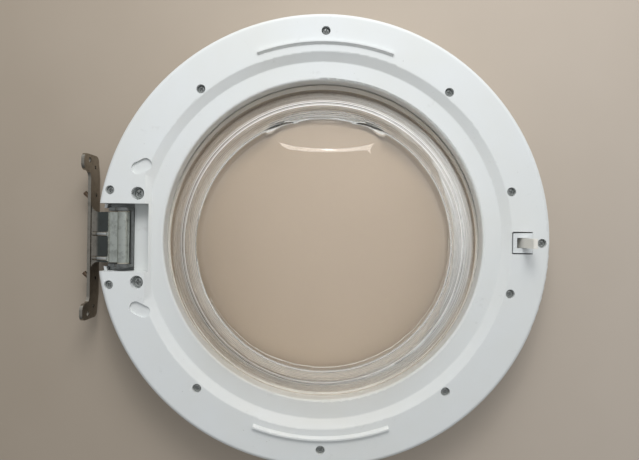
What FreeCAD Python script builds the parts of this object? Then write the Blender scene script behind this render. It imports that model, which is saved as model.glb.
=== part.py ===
import FreeCAD, Part
import math
import os
import Sketcher

# Door of a front-loading washing machine, lying on its outer face.
# Millimetres, +Z towards the machine side, +X towards the latch, origin at the
# centre of the ring on the plane of the front face.

doc = FreeCAD.newDocument("washing_machine_door")
sheet = doc.addObject("Spreadsheet::Sheet", "Sizes")

# Driving dimensions
driving = [
    # both rings
    ("door_radius", 212.5),
    ("rim_height", 44),
    ("parting_height", 29),
    ("parting_gap", 0.5),
    ("skin", 2.6),
    ("fit_gap", 0.3),
    # machine-side frame
    ("rim_round", 4.5),
    ("rim_width", 36),
    ("step_run", 8.2),
    ("step_drop", 5.5),
    ("step_round", 3),
    ("ring_width", 61.5),
    ("lip_round", 2.4),
    ("spigot_wall", 1.5),
    ("spigot_depth", 4),
    ("crescent_inset", 28.5),
    ("crescent_width", 4.6),
    ("crescent_height", 2.6),
    ("crescent_span", 40),
    ("oblong_length", 20.5),
    ("oblong_width", 11.5),
    ("oblong_depth", 2.2),
    ("oblong_tilt", 26),
    ("oblong_inset", 42.2),
    ("oblong_across", 66.9),
    # outer-side ring
    ("front_round", 18),
    ("rest_inset", 40.5),
    ("window_inset", 3.5),
    ("window_lift", 6),
    ("window_round", 3),
    ("seat_height", 19),
    ("seat_rim_wall", 2),
    ("grip_length", 92),
    ("grip_low", 9),
    ("grip_high", 19),
    ("grip_reach", 11.5),
    # glass
    ("seal_thickness", 1),
    ("seal_width", 8),
    ("flange_thickness", 5),
    ("flange_overlap", 10.2),
    ("seat_play", 2.9),
    ("glass_drop", 2.6),
    ("glass_gap", 3.1),
    ("glass_wall", 5),
    ("ledge_inset", 22),
    ("ledge_height", 54),
    ("ledge_step", 2.6),
    ("ledge_rise", 1.4),
    ("ledge_bead", 1.7),
    ("crown_inset", 53.4),
    ("crown_height", 100),
    ("crown_round", 32),
    ("dome_rise", 9),
    ("bevel_inset", 19.6),
    ("bevel_angle", 28),
    # ring screws
    ("screw_circle_inset", 31),
    ("pole_screw_inset", 16.8),
    ("edge_screw_inset", 8.3),
    ("near_screw_angle", 15.2),
    ("far_screw_angle", 50.3),
    ("screw_shank_radius", 1.95),
    ("screw_head_radius", 3.7),
    ("screw_head_height", 2.5),
    ("screw_length", 14),
    ("recess_depth", 1.6),
    ("recess_width", 1),
    ("counterbore_radius", 4.2),
    ("counterbore_depth", 5),
    ("thread_gap", 0.05),
    ("post_radius", 4.6),
    ("boss_wall", 2),
    # hinge
    ("hinge_inset", 22),
    ("hinge_height", 32),
    ("pin_radius", 3),
    ("running_gap", 0.06),
    ("bush_wall", 1.2),
    ("bush_flange", 1),
    ("barrel_radius", 5.8),
    ("barrel_length", 48),
    ("ear_thickness", 3),
    ("ear_radius", 8),
    ("ear_tail", 16),
    ("back_wall", 2),
    ("back_wall_drop", 1),
    ("plate_thickness", 2.5),
    ("plate_height", 22),
    ("plate_reach", 45),
    ("wing_span", 50),
    ("arm_span", 33),
    ("pocket_width", 64),
    ("pocket_reach", 48.5),
    ("pocket_floor", 27.6),
    ("pad_slope", 5),
    ("hinge_screw_reach", 39),
    ("hinge_screw_spread", 41.5),
    ("hinge_edge_reach", 13),
    ("hinge_edge_spread", 44.3),
    ("hinge_shank_radius", 2.5),
    ("hinge_head_radius", 4.8),
    ("hinge_head_height", 3.4),
    ("hinge_screw_length", 27),
    ("hinge_bore_depth", 8),
    ("hinge_bore_radius", 6.1),
    ("hinge_post_radius", 7.5),
    ("notch_width", 56),
    ("notch_reach", 9),
    ("notch_floor", 4),
    # fixing bracket
    ("sheet", 3),
    ("bar_offset", 37.5),
    ("bar_top", 26.5),
    ("bar_bottom", 6.5),
    ("bar_half_length", 79.5),
    ("lobe_width", 16),
    ("lobe_top", 41),
    ("lobe_bottom", 9.5),
    ("lobe_round", 6),
    ("web_reach", 14),
    ("web_rise", 3.2),
    ("strip_rise", 1.5),
    ("web_flare", 8),
    ("bead_radius", 2.3),
    ("bead_height", 1.7),
    ("bead_upper", 3),
    ("bead_lower", 20.5),
    ("bolt_spacing", 148),
    ("bolt_height", 29),
    ("bolt_radius", 2.6),
    ("locating_spacing", 136),
    ("locating_height", 17.5),
    ("locating_radius", 1.8),
    ("arm_hole_spacing", 82),
    ("arm_hole_height", 14.5),
    ("peg_radius", 2.1),
    ("peg_length", 11),
    ("peg_upper", 36),
    ("peg_lower", 43),
    ("peg_height", 15),
    ("peg_lean", 42),
    # latch
    ("slot_inset", 17),
    ("slot_length", 19.4),
    ("slot_width", 21),
    ("slot_round", 1.6),
    ("insert_gap", 1.7),
    ("insert_side_gap", 1.1),
    ("holder_foot", 3),
    ("holder_base", 17),
    ("holder_dip", 1.6),
    ("hook_inset", 24.2),
    ("hook_pivot_height", 27),
    ("hook_width", 9),
    ("hook_boss_radius", 3.7),
    ("hook_thickness", 5),
    ("hook_rise", 24),
    ("nose_reach", 2.4),
    ("nose_height", 9),
    ("hook_swing_gap", 3.2),
    ("latch_pin_radius", 1.5),
    ("spring_wire_radius", 0.5),
    ("spring_coils", 3),
]
for row, (alias, value) in enumerate(driving, 1):
    sheet.set("A%d" % row, alias.replace("_", " "))
    sheet.set("B%d" % row, str(value))
    sheet.setAlias("B%d" % row, alias)
doc.recompute()


class Size:
    """A number that keeps the sheet expression it comes from."""

    def __init__(self, value, text):
        self.value = float(value)
        self.text = text

    def __add__(self, other):
        other = as_size(other)
        return Size(self.value + other.value, "(%s + %s)" % (self.text, other.text))

    def __sub__(self, other):
        other = as_size(other)
        return Size(self.value - other.value, "(%s - %s)" % (self.text, other.text))

    def __mul__(self, other):
        other = as_size(other)
        return Size(self.value * other.value, "(%s * %s)" % (self.text, other.text))

    def __truediv__(self, other):
        other = as_size(other)
        return Size(self.value / other.value, "(%s / %s)" % (self.text, other.text))

    def __neg__(self):
        return Size(-self.value, "(0 - %s)" % self.text)

    def __radd__(self, other):
        return as_size(other) + self

    def __rsub__(self, other):
        return as_size(other) - self

    def __rmul__(self, other):
        return as_size(other) * self


def as_size(number):
    return number if isinstance(number, Size) else Size(number, repr(float(number)))


def sine(angle):
    angle = as_size(angle)
    return Size(math.sin(math.radians(angle.value)), "sin(%s)" % angle.text)


def cosine(angle):
    angle = as_size(angle)
    return Size(math.cos(math.radians(angle.value)), "cos(%s)" % angle.text)


def root(number):
    return Size(math.sqrt(number.value), "sqrt(%s)" % number.text)


class Sheet:
    """The cells of the sheet by alias."""


s = Sheet()
for alias, value in driving:
    setattr(s, alias, Size(value, "Sizes." + alias))


# Sketches and features
plane_normal = {"XY_Plane": 1, "YZ_Plane": 1, "XZ_Plane": -1}


def make_body(label):
    body = doc.addObject("PartDesign::Body", label)
    body.Label = label
    return body


def blank_sketch(body, name, plane, start):
    sketch = body.newObject("Sketcher::SketchObject", name)
    origin_plane = [f for f in body.Origin.OriginFeatures if f.Role == plane][0]
    sketch.AttachmentSupport = (origin_plane, [""])
    sketch.MapMode = "FlatFace"
    offset = as_size(start) * plane_normal[plane]
    sketch.AttachmentOffset = FreeCAD.Placement(
        FreeCAD.Vector(0, 0, offset.value), FreeCAD.Rotation()
    )
    sketch.setExpression("AttachmentOffset.Base.z", offset.text)
    return sketch


def bind(sketch, kind, places, size):
    index = sketch.addConstraint(Sketcher.Constraint(kind, *places, size.value))
    sketch.setExpression("Constraints[%d]" % index, size.text)


def pin_point(sketch, edge, point, x, y):
    for kind, axis, size in (("DistanceX", -2, x), ("DistanceY", -1, y)):
        size = as_size(size)
        if size.value == 0:
            sketch.addConstraint(Sketcher.Constraint("PointOnObject", edge, point, axis))
        else:
            bind(sketch, kind, (-1, 1, edge, point), size)


def arc_between(a, b, radius):
    """Minor arc from a to b; a positive radius turns anticlockwise."""
    chord = b - a
    half = chord.Length / 2
    side = FreeCAD.Vector(-chord.y, chord.x, 0).normalize()
    rise = math.sqrt(max(radius**2 - half**2, 0))
    centre = a + chord * 0.5 + side * math.copysign(rise, radius)
    middle = centre - side * math.copysign(abs(radius), radius)
    return Part.Arc(a, middle, b)


def outline(body, name, plane, points, start=0):
    """Closed outline; a third entry makes the run to the next point an arc of that radius."""
    sketch = blank_sketch(body, name, plane, start)
    at = [FreeCAD.Vector(as_size(p[0]).value, as_size(p[1]).value, 0) for p in points]
    firsts = []
    for number, point in enumerate(points):
        a = at[number]
        b = at[(number + 1) % len(points)]
        if len(point) == 3:
            radius = as_size(point[2])
            edge = sketch.addGeometry(arc_between(a, b, radius.value), False)
            firsts.append(1 if radius.value > 0 else 2)
            size = radius if radius.value > 0 else -radius
            bind(sketch, "Radius", (edge,), size)
        else:
            edge = sketch.addGeometry(Part.LineSegment(a, b), False)
            firsts.append(1)
    for number, point in enumerate(points):
        before = (number - 1) % len(points)
        join = ("Coincident", before, 3 - firsts[before], number, firsts[number])
        sketch.addConstraint(Sketcher.Constraint(*join))
        pin_point(sketch, number, firsts[number], point[0], point[1])
    return sketch


def circles(body, name, plane, rounds, start=0):
    sketch = blank_sketch(body, name, plane, start)
    for x, y, radius in rounds:
        centre = FreeCAD.Vector(as_size(x).value, as_size(y).value, 0)
        normal = FreeCAD.Vector(0, 0, 1)
        edge = sketch.addGeometry(Part.Circle(centre, normal, as_size(radius).value), False)
        pin_point(sketch, edge, 3, x, y)
        bind(sketch, "Radius", (edge,), as_size(radius))
    return sketch


def finish(feature):
    doc.recompute()
    return feature


def pad(body, sketch, length):
    """Adds material from the sketch towards the positive axis."""
    feature = body.newObject("PartDesign::Pad", sketch.Name + "_pad")
    feature.Profile = sketch
    feature.setExpression("Length", as_size(length).text)
    feature.Reversed = sketch.AttachmentSupport[0][0].Role == "XZ_Plane"
    return finish(feature)


def cut(body, sketch, length):
    """Takes material away from the sketch towards the positive axis."""
    before = body.Shape.Volume
    feature = body.newObject("PartDesign::Pocket", sketch.Name + "_cut")
    feature.Profile = sketch
    feature.setExpression("Length", as_size(length).text)
    feature.Reversed = sketch.AttachmentSupport[0][0].Role != "XZ_Plane"
    finish(feature)
    if not body.Shape.Volume < before:
        raise RuntimeError(feature.Name + " takes nothing away")
    return feature


def revolve(body, sketch, kind="PartDesign::Revolution", angle=360, middle=False):
    feature = body.newObject(kind, sketch.Name + "_turned")
    feature.Profile = sketch
    feature.ReferenceAxis = (sketch, ["V_Axis"])
    feature.setExpression("Angle", as_size(angle).text)
    feature.Midplane = middle
    return finish(feature)


def round_edges(body, wanted, radius):
    """Rounds the edges that the test picks."""
    numbered = [(n, e) for n, e in enumerate(body.Shape.Edges, 1) if not e.Degenerated]
    names = ["Edge%d" % n for n, e in numbered if wanted(e)]
    if not names:
        raise RuntimeError(body.Label + ": no edge to round")
    feature = body.newObject("PartDesign::Fillet", body.Name + "_round")
    feature.Base = (body.Tip if body.Tip != feature else feature.BaseFeature, names)
    feature.setExpression("Radius", as_size(radius).text)
    return finish(feature)


def ring_edge(radius, height):
    """Test for a circular edge about the Z axis."""

    def wanted(edge):
        box = edge.BoundBox
        flat = box.ZLength < 0.01 and abs(box.Center.z - height.value) < 0.02
        curve = edge.Curve
        return flat and hasattr(curve, "Radius") and abs(curve.Radius - radius.value) < 0.02

    return wanted


def box_points(x_low, x_high, y_low, y_high):
    return [(x_low, y_low), (x_high, y_low), (x_high, y_high), (x_low, y_high)]


# Places that several pieces share
hinge_x = -(s.door_radius - s.hinge_inset)
seal_top = s.seat_height + s.seal_thickness
clamp_height = seal_top + s.flange_thickness
step_outer = s.door_radius - s.rim_width
step_inner = step_outer - s.step_run
opening = s.door_radius - s.ring_width
flange_radius = opening + s.flange_overlap
annulus_height = s.rim_height - s.step_drop
head_seat = s.rim_height - s.counterbore_depth
post_top = head_seat - s.skin
plate_top = s.plate_height + s.plate_thickness
hinge_head_seat = s.rim_height - s.hinge_bore_depth
pocket_x = -(s.door_radius - s.pocket_reach)
barrel_clear = s.barrel_radius + s.fit_gap * 2
wall_x = hinge_x + barrel_clear
floor_x = wall_x + s.back_wall + s.fit_gap
slot_outer = s.door_radius - s.slot_inset
slot_inner = slot_outer - s.slot_length
hook_x = s.door_radius - s.hook_inset
bar_x = hinge_x - s.bar_offset
screw_hole = s.screw_shank_radius + s.thread_gap
hinge_screw_hole = s.hinge_shank_radius + s.thread_gap

screw_circle = s.door_radius - s.screw_circle_inset
circle_screws = [
    (screw_circle * cosine(angle), screw_circle * sine(angle))
    for angle in (
        s.near_screw_angle,
        -s.near_screw_angle,
        s.far_screw_angle,
        -s.far_screw_angle,
        180 - s.far_screw_angle,
        180 + s.far_screw_angle,
    )
]
pole_radius = s.door_radius - s.pole_screw_inset
pole_screws = [(as_size(0), pole_radius), (as_size(0), -pole_radius)]
hinge_edge_x = -(s.door_radius - s.hinge_edge_reach)
hinge_edge_screws = [
    (hinge_edge_x, s.hinge_edge_spread),
    (hinge_edge_x, -s.hinge_edge_spread),
]
latch_screw = (s.door_radius - s.edge_screw_inset, as_size(0))
ring_screws = circle_screws + pole_screws + hinge_edge_screws + [latch_screw]
hinge_screw_x = -(s.door_radius - s.hinge_screw_reach)
hinge_screws = [
    (hinge_screw_x, s.hinge_screw_spread),
    (hinge_screw_x, -s.hinge_screw_spread),
]


def rounds_at(places, radius):
    return [(x, y, radius) for x, y in places]


# Machine-side frame
frame = make_body("inner_frame")
spigot_radius = s.door_radius - s.skin - s.fit_gap
spigot_inner = spigot_radius - s.spigot_wall
wall_base = s.parting_height + s.parting_gap
spigot_base = s.parting_height - s.spigot_depth
under_shift = s.skin / 2
revolve(frame, outline(frame, "frame_section", "XZ_Plane", [
    (s.door_radius, wall_base),
    (s.door_radius, s.rim_height - s.rim_round, s.rim_round),
    (s.door_radius - s.rim_round, s.rim_height),
    (step_outer, s.rim_height),
    (step_inner, annulus_height),
    (opening + s.lip_round, annulus_height, s.lip_round),
    (opening, annulus_height - s.lip_round),
    (opening, clamp_height),
    (opening + s.skin, clamp_height),
    (opening + s.skin, annulus_height - s.skin),
    (step_inner + under_shift, annulus_height - s.skin),
    (step_outer + under_shift, s.rim_height - s.skin),
    (spigot_inner, s.rim_height - s.skin),
    (spigot_inner, spigot_base),
    (spigot_radius, spigot_base),
    (spigot_radius, wall_base),
]))
step_edge = ring_edge(step_outer, s.rim_height)
foot_edge = ring_edge(step_inner, annulus_height)
round_edges(frame, lambda e: step_edge(e) or foot_edge(e), s.step_round)

# Flat pad of the plateau that carries the hinge, ending on a sloped chord
chord_half = root(step_outer * step_outer - pocket_x * pocket_x)
pad_back = -(step_outer + s.step_round)
pad_foot = annulus_height - s.skin
pad(frame, outline(frame, "hinge_pad", "XZ_Plane", [
    (pad_back, pad_foot),
    (pocket_x + s.pad_slope / 2, pad_foot),
    (pocket_x + s.pad_slope / 2, annulus_height),
    (pocket_x - s.pad_slope / 2, s.rim_height),
    (pad_back, s.rim_height),
], -chord_half), 2 * chord_half)

# Walls and floor of the hinge pocket, then its hollow
pocket_half = s.pocket_width / 2
skirt_base = clamp_height + s.fit_gap
skirt_half = pocket_half + s.skin
cheek_x = -(spigot_inner - 2 * s.skin)
block_top = annulus_height - s.skin / 2
pad(frame, outline(frame, "pocket_block", "XY_Plane",
    box_points(cheek_x, pocket_x + s.skin, -skirt_half, skirt_half), skirt_base),
    block_top - skirt_base)
pad(frame, outline(frame, "pocket_cheeks", "XY_Plane",
    box_points(-spigot_radius, cheek_x, -skirt_half, skirt_half), wall_base),
    block_top - wall_base)
pocket_mouth = -(s.door_radius + s.skin)
cut(frame, outline(frame, "pocket_hollow", "XY_Plane",
    box_points(pocket_mouth, pocket_x, -pocket_half, pocket_half), s.pocket_floor),
    s.rim_height)
cut(frame, outline(frame, "pocket_through", "XY_Plane",
    box_points(pocket_mouth, floor_x, -pocket_half, pocket_half), s.plate_height),
    s.rim_height)

# Screw bosses with counterbores
boss_radius = s.counterbore_radius + s.boss_wall
pad(frame, circles(frame, "screw_bosses", "XY_Plane",
    rounds_at(circle_screws + pole_screws, boss_radius), post_top),
    s.rim_height - s.skin / 2 - post_top)
edge_boss_radius = s.counterbore_radius + s.boss_wall / 2
pad(frame, circles(frame, "edge_bosses", "XY_Plane",
    rounds_at(hinge_edge_screws + [latch_screw], edge_boss_radius), post_top),
    s.rim_height - s.skin / 2 - post_top)
hinge_boss_radius = s.hinge_bore_radius + s.boss_wall
pad(frame, circles(frame, "hinge_bosses", "XY_Plane",
    rounds_at(hinge_screws, hinge_boss_radius), plate_top),
    annulus_height - s.skin / 2 - plate_top)
cut(frame, circles(frame, "counterbores", "XY_Plane",
    rounds_at(ring_screws, s.counterbore_radius), head_seat), s.rim_height)
cut(frame, circles(frame, "hinge_counterbores", "XY_Plane",
    rounds_at(hinge_screws, s.hinge_bore_radius), hinge_head_seat), s.rim_height)
cut(frame, circles(frame, "screw_holes", "XY_Plane",
    rounds_at(ring_screws, screw_hole), post_top - s.skin), s.rim_height)
cut(frame, circles(frame, "hinge_screw_holes", "XY_Plane",
    rounds_at(hinge_screws, hinge_screw_hole), s.plate_height), s.rim_height)

# Latch slot with its guide walls
slot_half = s.slot_width / 2
foot_top = s.holder_base + s.holder_foot
guide_base = foot_top + s.fit_gap
slot_wall = s.skin * 0.6
guide_half = slot_half + slot_wall
pad(frame, outline(frame, "slot_walls", "XY_Plane",
    box_points(slot_inner - slot_wall, slot_outer + slot_wall, -guide_half, guide_half),
    guide_base), s.rim_height - s.skin / 2 - guide_base)


def slot_points(x_low, x_high, half, corner):
    """Box with the two corners on the opening side rounded."""
    return [
        (x_low + corner, -half),
        (x_high, -half),
        (x_high, half),
        (x_low + corner, half, corner),
        (x_low, half - corner),
        (x_low, corner - half, corner),
    ]


cut(frame, outline(frame, "slot_hollow", "XY_Plane",
    slot_points(slot_inner, slot_outer, slot_half, s.slot_round), s.holder_base), s.rim_height)

# Oblong recesses that flank the hinge
oblong_along = s.door_radius - s.oblong_inset
oblong_run = (s.oblong_length - s.oblong_width) / 2
oblong_radius = s.oblong_width / 2
end_radius = oblong_radius * 1.002


def oblong(side):
    """Straight-sided slot with round ends, leaning towards the opening."""
    along = (cosine(s.oblong_tilt), side * sine(s.oblong_tilt))
    across = (-along[1], along[0])
    corners = []
    for end, edge in ((1, 1), (-1, 1), (-1, -1), (1, -1)):
        x = -oblong_along + end * oblong_run * along[0] + edge * oblong_radius * across[0]
        y = side * s.oblong_across + end * oblong_run * along[1]
        corners.append((x, y + edge * oblong_radius * across[1]))
    return [corners[0], corners[1] + (end_radius,), corners[2], corners[3] + (end_radius,)]


for side, name in ((1, "oblong_upper"), (-1, "oblong_lower")):
    cut(frame, outline(frame, name, "XY_Plane", oblong(side), s.rim_height - s.oblong_depth),
        s.rim_height)

# Crescent ribs at the top and bottom of the plateau
crescent_radius = s.door_radius - s.crescent_inset
for side, name in ((1, "crescent_upper"), (-1, "crescent_lower")):
    sketch = outline(frame, name, "YZ_Plane", [
        (side * (crescent_radius + s.crescent_width / 2), s.rim_height - s.skin / 2),
        (side * (crescent_radius + s.crescent_width / 2), s.rim_height + s.crescent_height),
        (side * (crescent_radius + s.crescent_width / 6), s.rim_height + s.crescent_height),
        (side * (crescent_radius - s.crescent_width / 2), s.rim_height - s.skin / 2),
    ])
    revolve(frame, sketch, angle=s.crescent_span, middle=True)

# Outer-side ring
ring = make_body("front_ring")
seat_rim = flange_radius + s.seat_play
window_radius = opening - s.window_inset
rest_inner = s.door_radius - s.rest_inset
cone_back = window_radius + s.skin + s.window_round / 2
revolve(ring, outline(ring, "ring_section", "XZ_Plane", [
    (s.door_radius, s.parting_height),
    (s.door_radius - s.skin, s.parting_height),
    (s.door_radius - s.skin, s.front_round, s.skin - s.front_round),
    (s.door_radius - s.front_round, s.skin),
    (rest_inner + s.skin / 4, s.skin),
    (cone_back, s.window_lift + s.skin),
    (opening + s.skin, s.seat_height - s.skin),
    (seat_rim + s.seat_rim_wall, s.seat_height - s.skin),
    (seat_rim + s.seat_rim_wall, clamp_height),
    (seat_rim, clamp_height),
    (seat_rim, s.seat_height),
    (opening, s.seat_height),
    (window_radius, s.window_lift + s.window_round, s.window_round),
    (window_radius + s.window_round, s.window_lift),
    (rest_inner, 0),
    (s.door_radius - s.front_round, 0, s.front_round),
    (s.door_radius, s.front_round),
]))

# Grip recess in the side wall beside the latch
grip_angle = s.grip_length / s.door_radius * (180 / math.pi)
grip_floor = s.door_radius - s.grip_reach
revolve(ring, outline(ring, "grip_block", "XZ_Plane", box_points(
    grip_floor - s.skin, s.door_radius - s.skin / 2,
    s.grip_low - s.skin, s.grip_high + s.skin)),
    angle=grip_angle + 2, middle=True)
revolve(ring, outline(ring, "grip_hollow", "XZ_Plane", box_points(
    grip_floor, s.door_radius + s.skin, s.grip_low, s.grip_high)),
    "PartDesign::Groove", angle=grip_angle, middle=True)

# Posts that take the screws, and the rest under the latch insert
pad(ring, circles(ring, "screw_posts", "XY_Plane",
    rounds_at(circle_screws + pole_screws, s.post_radius), s.skin / 2),
    post_top - s.skin / 2)
edge_post_base = s.front_round / 2
edge_post_radius = screw_hole + s.boss_wall * 0.7
pad(ring, circles(ring, "edge_posts", "XY_Plane",
    rounds_at(hinge_edge_screws, edge_post_radius), edge_post_base),
    post_top - edge_post_base)
pad(ring, circles(ring, "latch_screw_post", "XY_Plane",
    rounds_at([latch_screw], edge_post_radius), s.grip_high + s.skin / 2),
    post_top - s.grip_high - s.skin / 2)
pad(ring, circles(ring, "hinge_posts", "XY_Plane",
    rounds_at(hinge_screws, s.hinge_post_radius), s.skin / 2),
    s.plate_height - s.skin / 2)
pad(ring, outline(ring, "latch_rest", "XY_Plane", box_points(
    slot_inner, slot_outer, -slot_half, slot_half), s.skin / 2),
    s.holder_base - s.skin / 2)
thread_base = head_seat - s.screw_length - s.fit_gap
cut(ring, circles(ring, "thread_holes", "XY_Plane",
    rounds_at(ring_screws, screw_hole), thread_base), s.rim_height)
hinge_thread_base = hinge_head_seat - s.hinge_screw_length - s.fit_gap
cut(ring, circles(ring, "hinge_thread_holes", "XY_Plane",
    rounds_at(hinge_screws, hinge_screw_hole), hinge_thread_base), s.rim_height)

# Notch that lets the bracket swing out
notch_half = s.notch_width / 2
cut(ring, outline(ring, "hinge_notch", "XY_Plane", box_points(
    pocket_mouth, -(s.door_radius - s.notch_reach), -notch_half, notch_half),
    s.notch_floor), s.rim_height)

# Seal ring under the glass flange
seal = make_body("glass_seal")
seal_inner = opening + s.skin / 2
revolve(seal, outline(seal, "seal_section", "XZ_Plane", box_points(
    seal_inner, seal_inner + s.seal_width, s.seat_height, seal_top)))

# Pressed glass: outer mould shape less the plunger shape
ledge_radius = opening - s.ledge_inset
crown_radius = opening - s.crown_inset
bevel_offset = crown_radius - s.bevel_inset
dome_height = s.crown_height + s.dome_rise
bevel_height = dome_height - s.dome_rise * bevel_offset * bevel_offset / (
    crown_radius * crown_radius)


def dome_arc(radius):
    return (radius * radius + s.dome_rise * s.dome_rise) / (2 * s.dome_rise)


def bevel_cut(body, name, drop):
    """Slices the bowl with the inclined plane of its flat bevel."""
    reach = crown_radius
    low = bevel_height - drop
    fall = reach * sine(s.bevel_angle) / cosine(s.bevel_angle)
    back = bevel_offset - reach
    sketch = outline(body, name, "YZ_Plane", [
        (back, low + fall),
        (bevel_offset + reach, low - fall),
        (bevel_offset + reach, low + fall),
    ], -2 * reach)
    cut(body, sketch, 4 * reach)


mould = make_body("glass_mould")
ledge_inner = ledge_radius - s.ledge_step
ledge_top = s.ledge_height + s.ledge_rise
wall_foot = opening - s.glass_gap
revolve(mould, outline(mould, "mould_section", "YZ_Plane", [
    (0, seal_top),
    (flange_radius, seal_top),
    (flange_radius, clamp_height),
    (wall_foot, clamp_height),
    (ledge_radius, s.ledge_height, s.ledge_bead),
    (ledge_inner, ledge_top),
    (crown_radius, s.crown_height, dome_arc(crown_radius)),
    (0, dome_height),
]))
round_edges(mould, ring_edge(crown_radius, s.crown_height), s.crown_round)
bevel_cut(mould, "mould_bevel", as_size(0))

plunger = make_body("glass_plunger")
wall_shift = s.glass_wall * 1.2
inner_crown_height = s.crown_height - s.glass_wall
lean = (ledge_inner - crown_radius) / (s.crown_height - ledge_top)
inner_crown = crown_radius + lean * s.glass_wall - wall_shift
foot_lean = (wall_foot - ledge_radius) / (s.ledge_height - clamp_height)
plunger_base = s.seat_height
revolve(plunger, outline(plunger, "plunger_section", "YZ_Plane", [
    (0, plunger_base),
    (wall_foot + foot_lean * (clamp_height - plunger_base) - wall_shift, plunger_base),
    (ledge_inner - wall_shift, ledge_top),
    (inner_crown, inner_crown_height, dome_arc(inner_crown)),
    (0, inner_crown_height + s.dome_rise),
]))
round_edges(plunger, ring_edge(inner_crown, inner_crown_height), s.crown_round - s.glass_wall)
bevel_cut(plunger, "plunger_bevel", s.glass_wall / cosine(s.bevel_angle))

glass = doc.addObject("Part::Cut", "glass_bowl")
glass.Base = mould
glass.Tool = plunger
glass.setExpression("Placement.Base.y", (-s.glass_drop).text)

# Hinge plate on the door, with two ears
mount = make_body("hinge_mount")
ear_inner = s.barrel_length / 2 + s.bush_flange + s.fit_gap
ear_outer = ear_inner + s.ear_thickness
plate_inner_x = -(s.door_radius - s.plate_reach)
arm_end_x = hinge_x - s.ear_tail
bridge_x = hinge_x + s.ear_radius
wing_half = s.wing_span
pad(mount, outline(mount, "mount_plate", "XY_Plane", [
    (plate_inner_x, -wing_half),
    (plate_inner_x, wing_half),
    (bridge_x, wing_half),
    (bridge_x, s.arm_span),
    (arm_end_x, s.arm_span),
    (arm_end_x, ear_inner),
    (bridge_x, ear_inner),
    (bridge_x, -ear_inner),
    (arm_end_x, -ear_inner),
    (arm_end_x, -s.arm_span),
    (bridge_x, -s.arm_span),
    (bridge_x, -wing_half),
], s.plate_height), s.plate_thickness)
ear_foot = s.plate_height + s.plate_thickness / 2
ear_back_x = hinge_x - s.ear_radius
for low, name in ((ear_inner, "ear_upper"), (-ear_outer, "ear_lower")):
    pad(mount, outline(mount, name, "XZ_Plane", [
        (arm_end_x, ear_foot),
        (bridge_x, ear_foot),
        (bridge_x, s.hinge_height, s.ear_radius),
        (hinge_x, s.hinge_height + s.ear_radius, s.ear_radius),
        (ear_back_x, s.hinge_height),
        (arm_end_x, s.hinge_height - s.ear_thickness),
    ], low), s.ear_thickness)
pad(mount, outline(mount, "back_wall", "XY_Plane", box_points(
    wall_x, wall_x + s.back_wall, -ear_outer, ear_outer), ear_foot),
    s.hinge_height - s.back_wall_drop - ear_foot)
cut(mount, circles(mount, "pin_holes", "XZ_Plane",
    [(hinge_x, s.hinge_height, s.pin_radius + s.thread_gap)], -ear_outer), 2 * ear_outer)
cut(mount, circles(mount, "mount_screw_holes", "XY_Plane",
    rounds_at(hinge_screws, hinge_screw_hole), s.plate_height), s.plate_thickness)


# Turned pieces of the hinge, drawn about Z and laid along Y
def lay_along_y(piece, x, z, start, turn):
    """Lays a turned piece along Y; a negative turn points it towards -Y."""
    piece.Placement = FreeCAD.Placement(
        FreeCAD.Vector(x.value, start.value, z.value),
        FreeCAD.Rotation(FreeCAD.Vector(1, 0, 0), turn))
    piece.setExpression("Placement.Base.x", x.text)
    piece.setExpression("Placement.Base.y", start.text)
    piece.setExpression("Placement.Base.z", z.text)


pin_head_radius = s.pin_radius * 1.5
pin_head = s.ear_thickness / 4
clip_thickness = s.pin_radius / 4
pin = make_body("hinge_pin")
pin_length = 2 * ear_outer + clip_thickness + pin_head
revolve(pin, outline(pin, "pin_section", "XZ_Plane", [
    (0, -pin_head),
    (pin_head_radius, -pin_head),
    (pin_head_radius, 0),
    (s.pin_radius, 0),
    (s.pin_radius, pin_length - pin_head),
    (0, pin_length - pin_head),
]))
lay_along_y(pin, hinge_x, s.hinge_height, ear_outer, 90)

clip = make_body("pin_clip")
revolve(clip, outline(clip, "clip_section", "XZ_Plane", box_points(
    s.pin_radius + s.thread_gap, pin_head_radius, 0, clip_thickness)))
lay_along_y(clip, hinge_x, s.hinge_height, -ear_outer, 90)

bush_inner = s.pin_radius + s.running_gap
bush_outer = bush_inner + s.bush_wall
bush_length = s.barrel_length / 4
for name, turn in (("bush_upper", 90), ("bush_lower", -90)):
    bush = make_body(name)
    revolve(bush, outline(bush, name + "_section", "XZ_Plane", [
        (bush_inner, -s.bush_flange),
        (bush_outer + s.bush_wall, -s.bush_flange),
        (bush_outer + s.bush_wall, 0),
        (bush_outer, 0),
        (bush_outer, bush_length),
        (bush_inner, bush_length),
    ]))
    start = s.barrel_length / 2 if turn > 0 else -(s.barrel_length / 2)
    lay_along_y(bush, hinge_x, s.hinge_height, start, turn)

# Fixing bracket: bar, web with two beads, rolled barrel
bracket = make_body("hinge_bracket")
lobe_start = s.bar_half_length - s.lobe_width
lobe_corner = s.bar_half_length - s.lobe_round
neck = lobe_start - s.lobe_round
half_bar = [
    (neck, s.bar_top, s.lobe_round),
    (lobe_start, s.bar_top + s.lobe_round),
    (lobe_start, s.lobe_top - s.lobe_round, -s.lobe_round),
    (lobe_start + s.lobe_round, s.lobe_top),
    (lobe_corner, s.lobe_top, -s.lobe_round),
    (s.bar_half_length, s.lobe_top - s.lobe_round),
    (s.bar_half_length, s.lobe_bottom + s.lobe_round, -s.lobe_round),
    (lobe_corner, s.lobe_bottom),
    (neck, s.bar_bottom),
]


def mirrored(points):
    """The same outline on the other side, walked the other way."""
    flipped = []
    for number in range(len(points) - 1, -1, -1):
        x, y = points[number][:2]
        before = points[number - 1] if number else ()
        flipped.append((-x, y) + tuple(before[2:]))
    return flipped


pad(bracket, outline(bracket, "bar", "YZ_Plane", half_bar + mirrored(half_bar), bar_x), s.sheet)

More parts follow.
